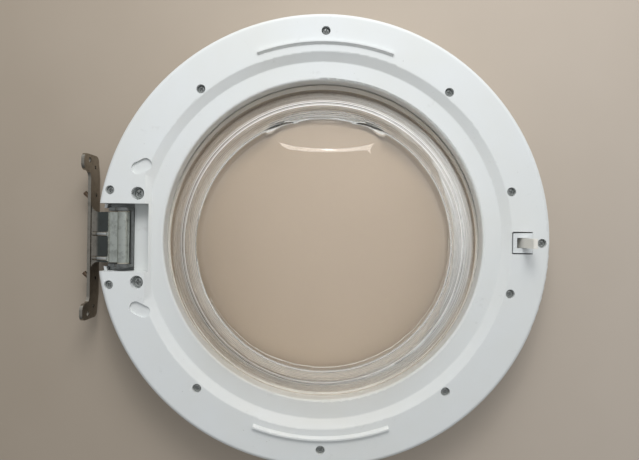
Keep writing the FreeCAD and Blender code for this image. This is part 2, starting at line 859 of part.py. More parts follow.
web_half = s.barrel_length / 2
web_edge_x = hinge_x - s.web_reach
web_edge_z = s.hinge_height + s.web_rise
strip_x = web_edge_x + s.sheet / 2
strip_z = s.hinge_height + s.strip_rise
bend = s.sheet * 2
bend_x = bar_x + bend
web_root = [
    (bend_x, s.bar_top, bend),
    (bar_x, s.bar_top - bend),
    (bar_x + s.sheet, s.bar_top - bend, s.sheet - bend),
    (bend_x, s.bar_top - s.sheet),
]
pad(bracket, outline(bracket, "web", "XZ_Plane", web_root + [
    (web_edge_x, web_edge_z - s.sheet),
    (strip_x, strip_z - s.sheet),
    (hinge_x, strip_z - s.sheet),
    (hinge_x, strip_z),
    (strip_x, strip_z),
    (web_edge_x, web_edge_z),
], -web_half), s.barrel_length)

# Flared root, where the web runs out into the arms of the bar
web_slope = (web_edge_z - s.bar_top) / (web_edge_x - bend_x)
flare_x = bar_x + s.sheet + s.web_flare
flare_rise = web_slope * (flare_x - bend_x)
flare_half = web_half + s.web_flare
pad(bracket, outline(bracket, "web_flare", "XZ_Plane", web_root + [
    (flare_x, s.bar_top - s.sheet + flare_rise),
    (flare_x, s.bar_top + flare_rise),
], -flare_half), 2 * flare_half)
cut(bracket, circles(bracket, "flare_rounds", "XY_Plane",
    rounds_at([(flare_x, flare_half), (flare_x, -flare_half)], s.web_flare - s.fit_gap),
    s.bar_bottom), s.lobe_top)

pad(bracket, circles(bracket, "barrel", "XZ_Plane",
    [(hinge_x, s.hinge_height, s.barrel_radius)], -web_half), s.barrel_length)

bead_run = web_edge_x - bend_x
bead_climb = web_edge_z - s.bar_top
bead_sink = s.bead_radius - s.bead_height
for place, name in ((s.bead_upper, "bead_upper"), (-s.bead_lower, "bead_lower")):
    bead = bracket.newObject("PartDesign::AdditiveCylinder", name)
    bead.setExpression("Radius", s.bead_radius.text)
    bead.setExpression("Height", root(bead_run * bead_run + bead_climb * bead_climb).text)
    bead.Placement = FreeCAD.Placement(
        FreeCAD.Vector(0, 0, 0), FreeCAD.Rotation(FreeCAD.Vector(0, 1, 0), 1))
    bead.setExpression("Placement.Base.x", bend_x.text)
    bead.setExpression("Placement.Base.y", place.text)
    bead.setExpression("Placement.Base.z", (s.bar_top - bead_sink).text)
    bead.setExpression("Placement.Rotation.Angle", "atan(%s)" % (bead_run / bead_climb).text)
    finish(bead)

cut(bracket, circles(bracket, "barrel_bore", "XZ_Plane",
    [(hinge_x, s.hinge_height, bush_outer + s.thread_gap)], -web_half), s.barrel_length)
bar_holes = []
for spacing, height, radius in (
    (s.bolt_spacing, s.bolt_height, s.bolt_radius),
    (s.locating_spacing, s.locating_height, s.locating_radius),
    (s.arm_hole_spacing, s.arm_hole_height, s.locating_radius),
):
    for side in (1, -1):
        bar_holes.append((side * spacing / 2, height, radius))
cut(bracket, circles(bracket, "bar_holes", "YZ_Plane", bar_holes, bar_x), s.sheet)

# Slanted pegs, trimmed flush with the back of the bar
pegs = []
for place, name in ((s.peg_upper, "peg_upper"), (-s.peg_lower, "peg_lower")):
    rod = doc.addObject("Part::Cylinder", name + "_rod")
    rod.setExpression("Radius", s.peg_radius.text)
    rod.setExpression("Height", (s.peg_length + 2 * s.peg_radius).text)
    lean_dir = FreeCAD.Vector(
        -math.cos(math.radians(s.peg_lean.value)), math.sin(math.radians(s.peg_lean.value)), 0)
    rod.Placement = FreeCAD.Placement(
        FreeCAD.Vector(0, 0, 0), FreeCAD.Rotation(FreeCAD.Vector(0, 0, 1), lean_dir))
    rod.setExpression("Placement.Base.x", (bar_x + s.peg_radius * 2 * cosine(s.peg_lean)).text)
    rod.setExpression("Placement.Base.y", (place - s.peg_radius * 2 * sine(s.peg_lean)).text)
    rod.setExpression("Placement.Base.z", s.peg_height.text)
    trim = doc.addObject("Part::Box", name + "_trim")
    trim.setExpression("Length", (s.peg_length * 2).text)
    trim.setExpression("Width", (s.peg_length * 4).text)
    trim.setExpression("Height", (s.peg_length * 2).text)
    trim.setExpression("Placement.Base.x", bar_x.text)
    trim.setExpression("Placement.Base.y", (place - s.peg_length * 2).text)
    trim.setExpression("Placement.Base.z", (s.peg_height - s.peg_length).text)
    peg = doc.addObject("Part::Cut", name)
    peg.Base = rod
    peg.Tool = trim
    pegs.append(peg)
peg_pair = doc.addObject("Part::Compound", "locating_pegs")
peg_pair.Links = pegs

# Insert that carries the hook
holder = make_body("latch_holder")
block_inner = slot_inner + s.insert_gap
block_outer = slot_outer - s.thread_gap
block_half = slot_half - s.insert_side_gap
cavity_outer = hook_x + s.hook_boss_radius + s.fit_gap
cavity_inner = hook_x - s.hook_boss_radius - s.hook_swing_gap
cavity_half = s.hook_width / 2 + s.fit_gap
pad(holder, outline(holder, "holder_side", "XZ_Plane", [
    (block_inner, s.holder_base),
    (block_outer, s.holder_base),
    (block_outer, s.rim_height - s.fit_gap),
    (cavity_outer, s.rim_height - s.fit_gap),
    (block_inner, s.rim_height - s.holder_dip),
], -block_half), 2 * block_half)
pad(holder, outline(holder, "holder_foot", "XY_Plane", box_points(
    slot_inner - slot_wall, slot_outer + slot_wall, -guide_half, guide_half), s.holder_base),
    s.holder_foot)
cavity_base = s.hook_pivot_height - s.hook_boss_radius - s.fit_gap
cut(holder, outline(holder, "holder_cavity", "XY_Plane", box_points(
    cavity_inner, cavity_outer, -cavity_half, cavity_half), cavity_base), s.rim_height)
pin_half = block_half - s.fit_gap
cut(holder, circles(holder, "holder_pin_hole", "XZ_Plane",
    [(hook_x, s.hook_pivot_height, s.latch_pin_radius + s.thread_gap)], -block_half),
    2 * block_half)

# Hook with its outward nose
hook = make_body("latch_hook")
hook_half = s.hook_width / 2
hook_top = s.rim_height + s.hook_rise
stem_outer = hook_x + s.hook_thickness / 2
stem_inner = hook_x - s.hook_thickness / 2
nose_tip = stem_outer + s.nose_reach
nose_base = hook_top - s.nose_height
crest = s.hook_thickness / 3
pad(hook, outline(hook, "hook_side", "XZ_Plane", [
    (hook_x - s.hook_boss_radius, s.hook_pivot_height, s.hook_boss_radius),
    (hook_x, s.hook_pivot_height - s.hook_boss_radius, s.hook_boss_radius),
    (hook_x + s.hook_boss_radius, s.hook_pivot_height),
    (stem_outer, s.rim_height),
    (stem_outer, nose_base - s.nose_reach / 4),
    (nose_tip, nose_base),
    (nose_tip, nose_base + s.nose_reach / 3),
    (stem_outer - crest / 2, hook_top - crest / 4, crest),
    (stem_inner + crest, hook_top, crest),
    (stem_inner + crest / 4, hook_top - crest),
    (stem_inner, s.rim_height),
], -hook_half), s.hook_width)
cut(hook, circles(hook, "hook_bore", "XZ_Plane",
    [(hook_x, s.hook_pivot_height, s.latch_pin_radius + s.running_gap)], -hook_half),
    s.hook_width)
coil_room = s.spring_wire_radius * 2 * (s.spring_coils + 2)
spring_side = hook_half - coil_room
cut(hook, outline(hook, "spring_room", "XZ_Plane", box_points(
    hook_x - s.hook_boss_radius - s.fit_gap, hook_x + s.hook_boss_radius + s.fit_gap,
    cavity_base, s.hook_pivot_height + s.hook_boss_radius + s.latch_pin_radius),
    spring_side), s.hook_width)

latch_pin = make_body("latch_pin")
revolve(latch_pin, outline(latch_pin, "latch_pin_section", "XZ_Plane", box_points(
    0, s.latch_pin_radius, 0, 2 * pin_half)))
lay_along_y(latch_pin, hook_x, s.hook_pivot_height, pin_half, 90)

# Torsion spring beside the hook: a coil with two straight legs
coil_radius = s.latch_pin_radius + s.spring_wire_radius * 1.8
coil_pitch = s.spring_wire_radius * 2.3
coil_start = hook_half - s.spring_wire_radius * 1.5
helix = doc.addObject("Part::Helix", "spring_path")
helix.setExpression("Radius", coil_radius.text)
helix.setExpression("Pitch", coil_pitch.text)
helix.setExpression("Height", (coil_pitch * s.spring_coils).text)
wire_disc = doc.addObject("Part::Circle", "spring_disc")
wire_disc.setExpression("Radius", s.spring_wire_radius.text)
wire_disc.Placement = FreeCAD.Placement(
    FreeCAD.Vector(coil_radius.value, 0, 0), FreeCAD.Rotation(FreeCAD.Vector(1, 0, 0), 90))
wire_disc.setExpression("Placement.Base.x", coil_radius.text)
coil = doc.addObject("Part::Sweep", "spring_coil")
coil.Sections = [wire_disc]
coil.Spine = (helix, [])
coil.Solid = True
coil.Frenet = True
legs = []
leg_length = s.hook_boss_radius
for name, level, turn in (("spring_leg_fixed", as_size(0), 90),
                          ("spring_leg_hook", coil_pitch * s.spring_coils, -90)):
    leg = doc.addObject("Part::Cylinder", name)
    leg.setExpression("Radius", s.spring_wire_radius.text)
    leg.setExpression("Height", leg_length.text)
    leg.Placement = FreeCAD.Placement(
        FreeCAD.Vector(0, 0, 0), FreeCAD.Rotation(FreeCAD.Vector(1, 0, 0), turn))
    leg.setExpression("Placement.Base.x", coil_radius.text)
    leg.setExpression("Placement.Base.z", level.text)
    legs.append(leg)
spring = doc.addObject("Part::MultiFuse", "latch_spring")
spring.Shapes = [coil] + legs
lay_along_y(spring, hook_x, s.hook_pivot_height, coil_start, 90)


# Screws: one turned shape with a cross recess, placed at each hole
def screw_shape(label, head, height, shank, length):
    """Screw about Z with the underside of its head at zero."""
    body = make_body(label)
    point = shank
    revolve(body, outline(body, label + "_section", "XZ_Plane", [
        (0, point - length),
        (shank / 3, point - length),
        (shank, 2 * point - length),
        (shank, 0),
        (head, 0),
        (head, height / 2),
        (head * 0.7, height),
        (0, height),
    ]))
    arm = head * 0.55
    for number, (half_x, half_y) in enumerate(
            ((arm, s.recess_width / 2), (s.recess_width / 2, arm))):
        cut(body, outline(body, "%s_recess_%d" % (label, number), "XY_Plane",
            box_points(-half_x, half_x, -half_y, half_y), height - s.recess_depth), height)
    return body


def screw_group(label, master, places, seat):
    links = []
    for number, (x, y) in enumerate(places):
        link = doc.addObject("App::Link", "%s_%d" % (label, number))
        link.LinkedObject = master
        spin = 37 * number
        link.Placement = FreeCAD.Placement(
            FreeCAD.Vector(x.value, y.value, seat.value),
            FreeCAD.Rotation(FreeCAD.Vector(0, 0, 1), spin))
        link.setExpression("Placement.Base.x", x.text)
        link.setExpression("Placement.Base.y", y.text)
        link.setExpression("Placement.Base.z", seat.text)
        links.append(link)
    group = doc.addObject("Part::Compound", label)
    group.Links = links
    return group


ring_screw = screw_shape("ring_screw_shape", s.screw_head_radius, s.screw_head_height,
                         s.screw_shank_radius, s.screw_length)
screws = screw_group("frame_screws", ring_screw, ring_screws, head_seat)
big_screw = screw_shape("hinge_screw_shape", s.hinge_head_radius, s.hinge_head_height,
                        s.hinge_shank_radius, s.hinge_screw_length)
big_screws = screw_group("hinge_screws", big_screw, hinge_screws, hinge_head_seat)

# Check every object and write the parts
doc.recompute()
for thing in doc.Objects:
    if "Invalid" in thing.State or "Error" in thing.State:
        raise RuntimeError("%s: %s" % (thing.Name, thing.State))
pieces = [
    frame, ring, glass, seal, mount, pin, clip, doc.getObject("bush_upper"),
    doc.getObject("bush_lower"), bracket, peg_pair, holder, hook, latch_pin, spring,
    screws, big_screws,
]
os.makedirs("parts", exist_ok=True)
for piece in pieces:
    shape = piece.Shape
    if shape.isNull() or not shape.isValid():
        raise RuntimeError(piece.Label + ": no valid shape")
    shape.exportStep("parts/%s.step" % piece.Label)
    print(piece.Label, len(shape.Solids), round(shape.Volume), "mm3")
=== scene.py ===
import math

import bmesh
import bpy
from mathutils import Matrix, Vector


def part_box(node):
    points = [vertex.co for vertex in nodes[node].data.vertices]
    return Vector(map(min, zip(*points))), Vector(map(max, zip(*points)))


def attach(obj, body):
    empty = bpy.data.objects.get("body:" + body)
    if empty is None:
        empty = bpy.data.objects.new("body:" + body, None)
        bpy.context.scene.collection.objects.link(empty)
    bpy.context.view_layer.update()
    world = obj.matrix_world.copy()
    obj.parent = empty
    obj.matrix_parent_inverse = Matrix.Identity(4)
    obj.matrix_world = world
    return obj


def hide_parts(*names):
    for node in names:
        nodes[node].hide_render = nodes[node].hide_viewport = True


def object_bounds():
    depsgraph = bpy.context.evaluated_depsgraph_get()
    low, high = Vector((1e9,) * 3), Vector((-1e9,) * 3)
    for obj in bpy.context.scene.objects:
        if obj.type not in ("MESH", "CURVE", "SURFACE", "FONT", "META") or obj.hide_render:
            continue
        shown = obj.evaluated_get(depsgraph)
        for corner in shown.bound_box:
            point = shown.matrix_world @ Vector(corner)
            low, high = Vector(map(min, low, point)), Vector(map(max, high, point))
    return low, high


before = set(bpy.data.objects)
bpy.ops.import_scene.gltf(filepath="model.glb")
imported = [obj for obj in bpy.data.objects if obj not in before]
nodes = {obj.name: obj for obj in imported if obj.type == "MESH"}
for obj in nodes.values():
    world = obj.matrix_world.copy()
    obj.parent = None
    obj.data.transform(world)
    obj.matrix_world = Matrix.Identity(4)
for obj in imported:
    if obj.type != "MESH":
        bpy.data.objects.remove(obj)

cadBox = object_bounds()
mm = 0.001
fullTurn = 2 * math.pi
weldGap = 0.002 * mm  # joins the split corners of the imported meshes
print("frame loaded,", len(nodes), "nodes")


# Small helpers

def toLinear(hexColour):
    parts = [int(hexColour[i:i + 2], 16) / 255 for i in (1, 3, 5)]
    return [c / 12.92 if c <= 0.04045 else ((c + 0.055) / 1.055) ** 2.4 for c in parts] + [1.0]


def addNode(tree, kind, settings={}, links={}):
    node = tree.nodes.new(kind)
    for key, value in settings.items():
        if key == "stops":  # colour ramp with two greys: (place, grey)
            for element, (place, grey) in zip(node.color_ramp.elements, value):
                element.position = place
                element.color = (grey, grey, grey, 1)
        elif isinstance(key, str) and hasattr(node, key):
            setattr(node, key, value)
        else:
            if isinstance(value, str) and value.startswith("#"):
                value = toLinear(value)
            node.inputs[key].default_value = value
    for key, source in links.items():
        tree.links.new(source, node.inputs[key])
    return node


def perMm(size):  # noise scale whose features are about this many millimetres wide
    return 1 / (size * mm)


def noise(tree, place, size, detail, rough=0.5):
    settings = {"Scale": perMm(size), "Detail": detail, "Roughness": rough}
    return addNode(tree, "ShaderNodeTexNoise", settings, {"Vector": place}).outputs["Fac"]


def spread(tree, value, low, high, start=0.0, end=1.0, kind="LINEAR"):
    settings = {"interpolation_type": kind, "From Min": low, "From Max": high, "To Min": start, "To Max": end}
    return addNode(tree, "ShaderNodeMapRange", settings, {"Value": value}).outputs["Result"]


def maths(tree, operation, *values, clamp=False):  # numbers are set, sockets are linked
    settings, links = {"operation": operation, "use_clamp": clamp}, {}
    for i, value in enumerate(values):
        (settings if isinstance(value, (int, float)) else links)[i] = value
    return addNode(tree, "ShaderNodeMath", settings, links).outputs["Value"]


def mixColour(tree, amount, first, second):  # each colour is a hex or a socket
    settings, links = {"data_type": "RGBA"}, {0: amount}
    for socket, colour in ((6, first), (7, second)):
        (settings if isinstance(colour, str) else links)[socket] = colour
    return addNode(tree, "ShaderNodeMix", settings, links).outputs[2]


def splitAxes(tree, place):
    return addNode(tree, "ShaderNodeSeparateXYZ", links={"Vector": place}).outputs


def raised(tree, height, strength, depth):
    settings = {"Strength": strength, "Distance": depth * mm}
    return addNode(tree, "ShaderNodeBump", settings, {"Height": height}).outputs["Normal"]


def startMaterial(name):
    material = bpy.data.materials.new(name)
    material.use_nodes = True
    tree = material.node_tree
    tree.nodes.clear()
    place = addNode(tree, "ShaderNodeTexCoord").outputs["Object"]
    return material, tree, place


def principled(tree, settings, links):
    return addNode(tree, "ShaderNodeBsdfPrincipled", settings, links).outputs["BSDF"]


def endMaterial(tree, shader):
    addNode(tree, "ShaderNodeOutputMaterial", links={"Surface": shader})


def putObject(name, data):
    thing = bpy.data.objects.new(name, data)
    bpy.context.scene.collection.objects.link(thing)
    return thing


def meshPiece(name, bm, material):
    bmesh.ops.recalc_face_normals(bm, faces=bm.faces)
    mesh = bpy.data.meshes.new(name)
    bm.to_mesh(mesh)
    bm.free()
    mesh.polygons.foreach_set("use_smooth", [True] * len(mesh.polygons))
    mesh.materials.append(material)
    return putObject(name, mesh)


def joinRings(bm, rings):  # a ring of one vertex closes the form with a fan
    for a, b in zip(rings, rings[1:]):
        count = max(len(a), len(b))
        for k in range(count):
            after = (k + 1) % count
            corners = [a[k % len(a)], a[after % len(a)], b[after % len(b)], b[k % len(b)]]
            bm.faces.new(list(dict.fromkeys(corners)))


# Materials, with all pattern sizes in millimetres

plasticLook = {
    "colour": "#E3E7E9", "warm": "#DEDFDA", "warmSize": 70, "ior": 1.53, "rough": (0.36, 0.52),
    "grime": "#9A9890", "speckSize": 3.2, "specks": [(0.755, 0.0), (0.80, 1.0)],
    "smearSize": 22, "smears": [(0.62, 0.0), (0.80, 0.35)],
    "grainSize": 0.9, "grainDepth": 0.1, "grain": 0.05,
}


# Injection-moulded ABS: cool white, satin, with a spark-eroded grain, faint yellowing and a few specks
def satinAbs():
    look = plasticLook
    material, tree, place = startMaterial("satinMouldedAbs")
    tint = mixColour(tree, noise(tree, place, look["warmSize"], 3, 0.6), look["colour"], look["warm"])
    speck = noise(tree, place, look["speckSize"], 2, 0.7)
    smear = noise(tree, place, look["smearSize"], 6, 0.72)
    speckMask = addNode(tree, "ShaderNodeValToRGB", {"stops": look["specks"]}, {"Fac": speck})
    smearMask = addNode(tree, "ShaderNodeValToRGB", {"stops": look["smears"]}, {"Fac": smear})
    dirt = maths(tree, "MAXIMUM", speckMask.outputs["Color"], smearMask.outputs["Color"])
    grain = noise(tree, place, look["grainSize"], 2)
    shader = principled(tree, {"IOR": look["ior"]}, {
        "Base Color": mixColour(tree, dirt, tint, look["grime"]),
        "Roughness": spread(tree, smear, 0, 1, *look["rough"]),
        "Normal": raised(tree, grain, look["grain"], look["grainDepth"])})
    endMaterial(tree, shader)
    return material


glassLook = {
    "tint": "#FAF7F3", "ior": 1.5, "shadow": "#F6F4F1",
    "waveSize": 26, "waveDepth": 0.6, "wave": 0.2, "smearSize": 40, "smears": (0.4, 0.8), "smearRough": 0.03,
    # the whitish tone of the wall is a painted reflection of the window, the brownish tone is painted shade
    "paintedReflection": "#ECEDEB", "paintedShade": "#B5AB9E", "shadeToReflection": (-90, 60), "reflectionRough": 0.45,
    "streakLong": 70, "streakHigh": 1.1, "streaks": (0.36, 0.72),
    "reflectionTop": (76, 108), "topRise": (90, 125), "topSoft": 5, "blotSize": 24, "blotReach": 26,
    # axis, from, to, amount at both: the painted reflection starts above the foot, is heavier to the latch, thinner to
    # the bevel
    "reflectionZones": (("Z", 28, 36, 0.0, 0.8), ("X", 40, 125, 1.0, 1.5), ("Y", 50, 115, 1.0, 0.4)),
    # the whitish lines at both edges of the ring line are a painted highlight
    "paintedHighlight": "#F6F5F4", "highlightAmount": 0.85, "highlightRings": (129.3, 126.0), "highlightHalf": 0.6, "axisDrop": 2.6,
}


# Pressed soda-lime glass: clear, fire-polished, with the slow waves of the mould. On the wall lies a painted
# reflection in streaks round it, with brownish painted shade on the hinge side and a whitish painted reflection on the
# latch side
def pressedGlass():
    look = glassLook
    material, tree, place = startMaterial("pressedSodaGlass")
    axes = splitAxes(tree, place)
    smear = noise(tree, place, look["smearSize"], 4, 0.6)
    wave = noise(tree, place, look["waveSize"], 2, 0.45)
    glass = principled(tree, {"Base Color": look["tint"], "IOR": look["ior"], "Transmission Weight": 1.0}, {
        "Roughness": spread(tree, smear, *look["smears"], 0.0, look["smearRough"]),
        "Normal": raised(tree, wave, look["wave"], look["waveDepth"])})

    streakScale = (perMm(look["streakLong"]), perMm(look["streakLong"]), perMm(look["streakHigh"]))
    stretched = addNode(tree, "ShaderNodeMapping", {"Scale": streakScale}, {"Vector": place})
    streak = addNode(tree, "ShaderNodeTexNoise", {"Scale": 1.0, "Detail": 3, "Roughness": 0.6},
                     {"Vector": stretched.outputs["Vector"]})
    amount = spread(tree, streak.outputs["Fac"], *look["streaks"])
    # the painted reflection ends upwards in an uneven line, higher on the latch side
    height = maths(tree, "MULTIPLY_ADD", noise(tree, place, look["blotSize"], 3, 0.55), look["blotReach"] * mm, axes["Z"])
    riseX, topZ = [[end * mm for end in look[key]] for key in ("topRise", "reflectionTop")]
    below = maths(tree, "SUBTRACT", spread(tree, axes["X"], *riseX, *topZ, "SMOOTHSTEP"), height)
    paintedReflection = maths(tree, "MULTIPLY", amount, spread(tree, below, 0.0, look["topSoft"] * mm), clamp=True)
    for axis, low, high, start, end in look["reflectionZones"]:
        zone = spread(tree, axes[axis], low * mm, high * mm, start, end)
        paintedReflection = maths(tree, "MULTIPLY", paintedReflection, zone, clamp=True)

    # painted highlight along both edges of the ring line
    centred = addNode(tree, "ShaderNodeVectorMath", {"operation": "ADD", 1: (0, look["axisDrop"] * mm, 0)}, {0: place})
    level = addNode(tree, "ShaderNodeVectorMath", {"operation": "MULTIPLY", 1: (1, 1, 0)},
                    {0: centred.outputs["Vector"]})
    radius = addNode(tree, "ShaderNodeVectorMath", {"operation": "LENGTH"}, {0: level.outputs["Vector"]})
    paintedHighlight = 0.0
    for ringRadius in look["highlightRings"]:
        ring = maths(tree, "COMPARE", radius.outputs["Value"], ringRadius * mm, look["highlightHalf"] * mm)
        paintedHighlight = maths(tree, "MULTIPLY_ADD", ring, look["highlightAmount"], paintedHighlight)

    # brownish painted shade on the hinge side turns into the whitish painted reflection towards the latch
    shadeToReflection = spread(tree, axes["X"], *[end * mm for end in look["shadeToReflection"]])
    tone = mixColour(tree, paintedHighlight, mixColour(tree, shadeToReflection, look["paintedShade"], look["paintedReflection"]), look["paintedHighlight"])
    paintedLightCoat = principled(tree, {"Roughness": look["reflectionRough"]}, {"Base Color": tone})
    glassAndPaintedLight = addNode(tree, "ShaderNodeMixShader", links={0: maths(tree, "MAXIMUM", paintedReflection, paintedHighlight), 1: glass, 2: paintedLightCoat})
    clear = addNode(tree, "ShaderNodeBsdfTransparent", {"Color": look["shadow"]})
    ray = addNode(tree, "ShaderNodeLightPath")  # lets the lamps through to the floor
    both = addNode(tree, "ShaderNodeMixShader", links={
        0: ray.outputs["Is Shadow Ray"], 1: glassAndPaintedLight.outputs["Shader"], 2: clear.outputs["BSDF"]})
    endMaterial(tree, both.outputs["Shader"])
    return material


def wornMetal(name, colour, stain, rough, stainSize, pitSize, stained, bump):
    material, tree, place = startMaterial(name)
    stains = spread(tree, noise(tree, place, stainSize, 6, 0.65), 0.42, 0.72, 0.0, stained)
    pits = noise(tree, place, pitSize, 3, 0.6)
    shader = principled(tree, {"Metallic": 1.0}, {
        "Base Color": mixColour(tree, stains, colour, stain),
        "Roughness": spread(tree, pits, 0.3, 0.75, rough * 0.7, rough * 1.6),
        "Normal": raised(tree, pits, bump, 0.15)})
    endMaterial(tree, shader)
    return material


plateLook = {
    "web": "#565A57", "bar": "#9A948A", "barAt": -217.5, "barHalf": 1.5,
    "dull": "#C9CDC5", "seamAt": -204.2, "seamHalf": 0.5, "brightRough": 0.10, "dullRough": 0.22,
    "stain": "#45423C", "stainSize": 6, "stains": (0.48, 0.78), "stained": 0.55,
    # the rib colour is a painted highlight along the raised ribs
    "paintedRibHighlight": "#E3E5E2", "ribs": (3.0, -20.5), "ribHalf": 2.2, "ribFaint": 0.35,
    "pitSize": 1.0, "pitRough": 0.18, "pitDepth": 0.15, "pit": 0.25,
}


# Bright plate on a zinc casting: mirror-like on the web, whose dark colour is a painted dark reflection, with painted
# highlights along its ribs, warmer on the bar as a painted reflection of the floor, and a grey-green satin on the
# barrel
def platedCasting():
    look = plateLook
    material, tree, place = startMaterial("brightPlatedCasting")
    axes = splitAxes(tree, place)
    bar, barHalf, seam, seamHalf = [look[key] * mm for key in ("barAt", "barHalf", "seamAt", "seamHalf")]
    onBarrel = spread(tree, axes["X"], seam - seamHalf, seam + seamHalf)
    onBar = spread(tree, axes["X"], bar - barHalf, bar + barHalf, 1.0, 0.0)
    stains = spread(tree, noise(tree, place, look["stainSize"], 6, 0.68), *look["stains"], 0.0, look["stained"])
    # the dark web and the warmer bar are painted reflections
    base = mixColour(tree, onBarrel, look["web"], look["dull"])
    base = mixColour(tree, onBar, base, look["bar"])
    base = mixColour(tree, stains, base, look["stain"])
    # painted highlights on the ribs, brightening from the bar to the barrel, and only on the web
    highlightAlongWeb = maths(tree, "SUBTRACT", spread(tree, axes["X"], bar, seam, look["ribFaint"]), onBar, clamp=True)
    highlightAlongWeb = maths(tree, "SUBTRACT", highlightAlongWeb, onBarrel, clamp=True)
    for paintedRibHighlight in look["ribs"]:
        near = maths(tree, "COMPARE", axes["Y"], paintedRibHighlight * mm, look["ribHalf"] * mm)
        base = mixColour(tree, maths(tree, "MULTIPLY", near, highlightAlongWeb), base, look["paintedRibHighlight"])
    rough = spread(tree, onBarrel, 0, 1, look["brightRough"], look["dullRough"])
    pits = noise(tree, place, look["pitSize"], 3, 0.65)
    shader = principled(tree, {"Metallic": 1.0}, {
        "Base Color": base,
        "Roughness": maths(tree, "MULTIPLY_ADD", pits, look["pitRough"], rough),
        "Normal": raised(tree, pits, look["pit"], look["pitDepth"])})
    endMaterial(tree, shader)
    return material


def mouldedPlastic(name, colour, shade, rough, driftSize):
    material, tree, place = startMaterial(name)
    drift = noise(tree, place, driftSize, 4, 0.6)
    shader = principled(tree, {"IOR": 1.5}, {
        "Base Color": mixColour(tree, drift, colour, shade),
        "Roughness": spread(tree, drift, 0, 1, rough - 0.08, rough + 0.1),
        "Normal": raised(tree, noise(tree, place, 0.7, 2), 0.06, 0.1)})
    endMaterial(tree, shader)
    return material


whiteAbs = satinAbs()
clearGlass = pressedGlass()
brightPlate = platedCasting()
# Zinc-plated steel: grey, even, a little cloudy
zincPlate = wornMetal("zincPlatedSteel", "#8E908F", "#6B6A66", rough=0.34, stainSize=3, pitSize=0.6,
                      stained=0.6, bump=0.1)
# Zinc-plated screws: a lighter copy of the zinc plate, painted light for the heads down in their shaded counterbores
screwZincPaintedLight = wornMetal("zincPlatedScrew", "#B4B6B4", "#83827D", rough=0.28, stainSize=2, pitSize=0.5,
                      stained=0.5, bump=0.1)
# Plain steel, coloured brown as a painted reflection of the floor
floorReflectionSteel = wornMetal("steelPaintedFloorReflection", "#7C6A5A", "#54402F", rough=0.45, stainSize=2.4, pitSize=0.5,
                       stained=0.8, bump=0.3)
# Drawn spring wire: dark and even
springWire = wornMetal("drawnSpringWire", "#8A8A88", "#5E5E5C", rough=0.3, stainSize=2, pitSize=0.5,
                       stained=0.5, bump=0.05)
# Acetal resin: warm off-white with a soft gleam, as moulded hooks have
acetal = mouldedPlastic("mouldedAcetal", "#EEEBE4", "#E2DED4", rough=0.4, driftSize=9)
# Plain ABS of the insert: white and matt
insertAbs = mouldedPlastic("mattMouldedAbs", "#E0E4E5", "#DADDDC", rough=0.5, driftSize=12)
# Nylon of the bushes: slightly yellow, waxy
nylon = mouldedPlastic("mouldedNylon", "#D6D1C2", "#C8C1AE", rough=0.45, driftSize=6)
# Black rubber of the seal: matt, dusty
rubber = mouldedPlastic("extrudedRubber", "#1D1D1D", "#2B2A29", rough=0.75, driftSize=5)

finishes = {
    "inner_frame": whiteAbs, "front_ring": whiteAbs, "glass_bowl": clearGlass, "glass_seal": rubber,
    "hinge_mount": zincPlate, "hinge_pin": zincPlate, "pin_clip": zincPlate, "bush_upper": nylon,
    "bush_lower": nylon, "hinge_bracket": brightPlate, "locating_pegs": floorReflectionSteel, "latch_holder": insertAbs,
    "latch_hook": acetal, "latch_pin": zincPlate, "latch_spring": springWire, "frame_screws": zincPlate,
    "hinge_screws": zincPlate,
}
for name, material in finishes.items():
    nodes[name].data.materials.clear()
    nodes[name].data.materials.append(material)
print("materials made:", len(bpy.data.materials))


# Pressed glass bowl, turned from its section and pushed down to the flat bevel

bowl = {
    "drop": glassLook["axisDrop"], "turns": 320, "step": 1.3, "weld": 0.0005, "axisGap": 0.01,
    "flange": 5.0, "foot": 147.9, "ledge": (129.0, 54.0), "ledgeInner": (126.4, 55.4), "bead": 1.7, "beadSteps": 8,
    "crown": (103.5, 98.0), "rise": 11.0, "domeSteps": 26, "outerSoft": 15, "innerSoft": 16,
    "wall": 5.0, "levelWall": 1.2,  # the wall cut level is thicker by this factor
    "crownRound": 24.0, "innerRound": 27.0, "footRound": 1.2, "rimRound": 1.2, "mouthRound": 1.5, "kneeRound": 6.0,
    "bevelAt": 78.0, "bevelAngle": 30.0, "bevelAbove": 10, "ridgeSoft": 0.6, "footSoft": 9.0, "footFade": (8, 16),
    "ripple": 0.035, "ripples": ((5.2, 1.0, 0.0), (2.9, 0.6, 1.3)),  # wave length, share, phase
    "rippleStart": (2, 6), "rippleEnd": (6, 10),  # distance from foot and crown, and length of the fade
}


def roundCorners(points, step):
    # points are (r, z, corner radius); returns an evenly cut line with arcs at the corners
    line = []
    for i, (r, z, radius) in enumerate(points):
        here = Vector((r, z))
        if radius and 0 < i < len(points) - 1:
            back = (Vector(points[i - 1][:2]) - here).normalized()
            ahead = (Vector(points[i + 1][:2]) - here).normalized()
            half = back.angle(ahead) / 2
            cut = radius / math.tan(half)
            centre = here + (back + ahead).normalized() * (radius / math.sin(half))
            start, end = here + back * cut - centre, here + ahead * cut - centre
            turn = start.angle_signed(end)
            count = max(4, int(abs(turn) * radius / step) + 1)
            line += [centre + Matrix.Rotation(-turn * k / count, 2) @ start for k in range(count + 1)]
        else:
            line.append(here)
    cutLine = [line[0]]
    for a, b in zip(line, line[1:]):
        count = max(1, int((b - a).length / step + 0.5))
        cutLine += [a.lerp(b, k / count) for k in range(1, count + 1)]
    return cutLine


